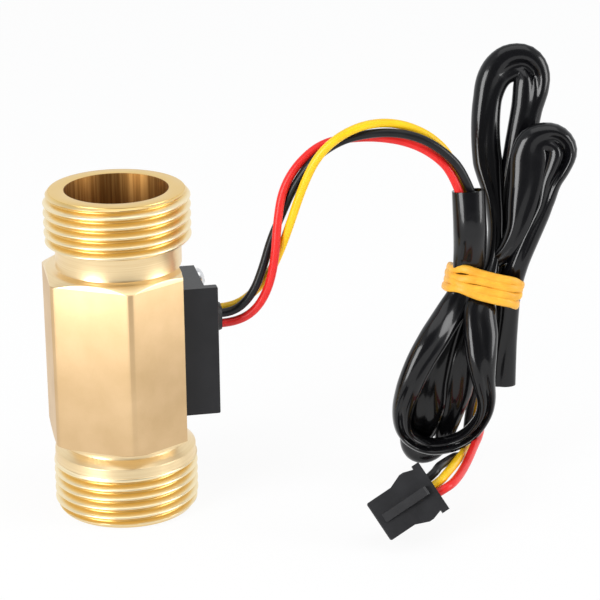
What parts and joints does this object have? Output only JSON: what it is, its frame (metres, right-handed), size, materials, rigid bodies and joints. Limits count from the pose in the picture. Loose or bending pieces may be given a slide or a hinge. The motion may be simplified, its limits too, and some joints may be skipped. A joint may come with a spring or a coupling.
{
  "type": "in-line turbine water flow sensor",
  "caption": "Brass hexagon turbine flow sensor with a male thread at each end, a screwed-on sensor housing and a banded three-wire lead with a plug.",
  "frame": {"origin": "centre of the lower end face of the brass body, on the bore's axis", "axes": "+Z along the bore to the upper thread, +X out of the sensor seat"},
  "size_m": [0.0963, 0.0482, 0.0836],
  "materials": {
    "brass": "turned and milled, bright",
    "insert_plastic": "moulded acetal",
    "rotor_plastic": "moulded",
    "magnet": "bonded ferrite",
    "steel": "plated",
    "bush": "filled, low friction",
    "housing_plastic": "moulded, satin",
    "gasket": "matte",
    "board": "lacquered",
    "chip": "moulded",
    "grommet": "matte",
    "red_wire": "extruded insulation",
    "black_wire": "extruded insulation",
    "yellow_wire": "extruded insulation",
    "sleeve": "soft glossy tube",
    "band": "soft, slightly glossy",
    "plug": "moulded",
    "contact": "tinned"
  },
  "bodies": {
    "meter": {"brass_body": "brass", "inlet_guide": "insert_plastic", "rotor_cage": "insert_plastic", "retaining_ring": "steel", "lower_bush": "bush", "upper_bush": "bush", "sensor_housing": "housing_plastic", "seat_gasket": "gasket", "circuit_board": "board", "hall_element": "chip", "board_chips": "chip", "housing_screws": "steel", "lead_grommet": "grommet", "lead_red": "red_wire", "lead_black": "black_wire", "lead_yellow": "yellow_wire", "cable_sleeve": "sleeve", "rubber_band": "band", "plug_housing": "plug", "plug_contacts": "contact", "tail_red": "red_wire", "tail_yellow": "yellow_wire", "tail_black": "black_wire"},
    "rotor": {"rotor": "rotor_plastic", "rotor_magnet": "magnet", "rotor_shaft": "steel"}
  },
  "joints": [
    {"name": "rotor_spin", "type": "hinge", "parent": "meter", "child": "rotor", "pos_m": [0, 0, 0.032], "axis": [0, 0, 1], "continuous": true}
  ]
}
